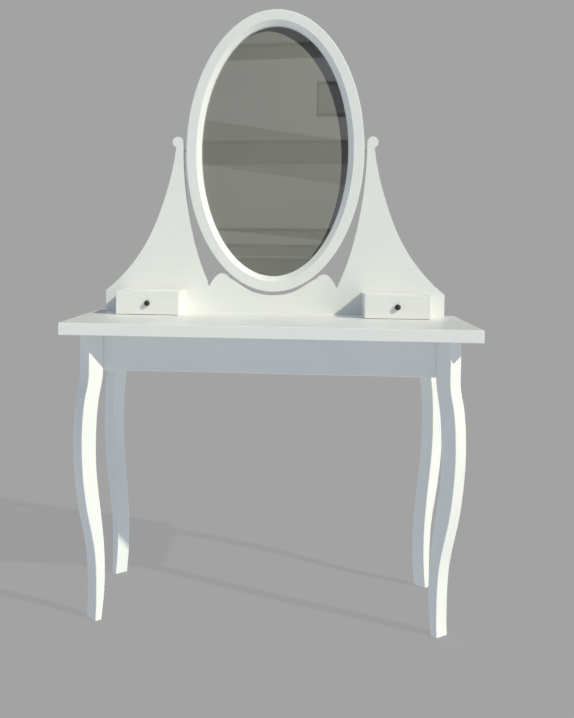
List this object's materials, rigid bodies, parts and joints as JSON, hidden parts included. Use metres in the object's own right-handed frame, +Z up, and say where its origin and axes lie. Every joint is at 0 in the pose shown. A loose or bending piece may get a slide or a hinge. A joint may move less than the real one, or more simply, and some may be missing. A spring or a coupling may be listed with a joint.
{
  "type": "miniature dressing table",
  "caption": "Dolls' house dressing table with S-curved legs, an oval mirror that tilts between scrolled wings, and small trinket drawers with round knobs.",
  "frame": {"origin": "on the floor, under the middle of the table top's outline", "axes": "+Z up, -Y towards the person seated at the table, +X to the right seen from the front"},
  "size_m": [0.0834, 0.0418, 0.1314],
  "materials": {
    "white_paint": "satin off-white paint on fine-grained wood",
    "bare_wood": "unfinished, sanded",
    "beech_dowel": "unfinished",
    "backing_card": "thin brown fibre board",
    "mirror_glass": "polished",
    "dark_knob": "near-black gloss",
    "steel_pin": "plain wire",
    "brass_pin": "plain wire"
  },
  "bodies": {
    "table": {"apron_back": "white_paint", "apron_front": "white_paint", "apron_left": "white_paint", "apron_right": "white_paint", "case_bottom_left": "white_paint", "case_bottom_right": "white_paint", "case_inner_side_left": "white_paint", "case_inner_side_right": "white_paint", "case_outer_side_left": "white_paint", "case_outer_side_right": "white_paint", "case_top_left": "white_paint", "case_top_right": "white_paint", "corner_block_back_left": "bare_wood", "corner_block_back_right": "bare_wood", "corner_block_front_left": "bare_wood", "corner_block_front_right": "bare_wood", "leg_back_left": "white_paint", "leg_back_right": "white_paint", "leg_dowels": "beech_dowel", "leg_front_left": "white_paint", "leg_front_right": "white_paint", "mirror_stand": "white_paint", "stand_dowels": "beech_dowel", "table_top": "white_paint"},
    "mirror": {"mirror_frame": "white_paint", "mirror_glass": "mirror_glass", "mirror_backing": "backing_card", "glazing_pins": "steel_pin", "pivot_pin_left": "brass_pin", "pivot_pin_right": "brass_pin"},
    "drawer_left": {"drawer_back_left": "bare_wood", "drawer_bottom_left": "bare_wood", "drawer_front_left": "white_paint", "drawer_inner_side_left": "bare_wood", "drawer_outer_side_left": "bare_wood", "knob_left": "dark_knob"},
    "drawer_right": {"drawer_back_right": "bare_wood", "drawer_bottom_right": "bare_wood", "drawer_front_right": "white_paint", "drawer_inner_side_right": "bare_wood", "drawer_outer_side_right": "bare_wood", "knob_right": "dark_knob"}
  },
  "joints": [
    {"name": "mirror_tilt", "type": "hinge", "parent": "table", "child": "mirror", "pos_m": [0, 0.0194, 0.09906], "axis": [1, 0, 0], "range_deg": [-30, 30]},
    {"name": "drawer_left_slide", "type": "slide", "parent": "table", "child": "drawer_left", "axis": [0, -1, 0], "range_m": [0, 0.008]},
    {"name": "drawer_right_slide", "type": "slide", "parent": "table", "child": "drawer_right", "axis": [0, -1, 0], "range_m": [0, 0.008]}
  ]
}
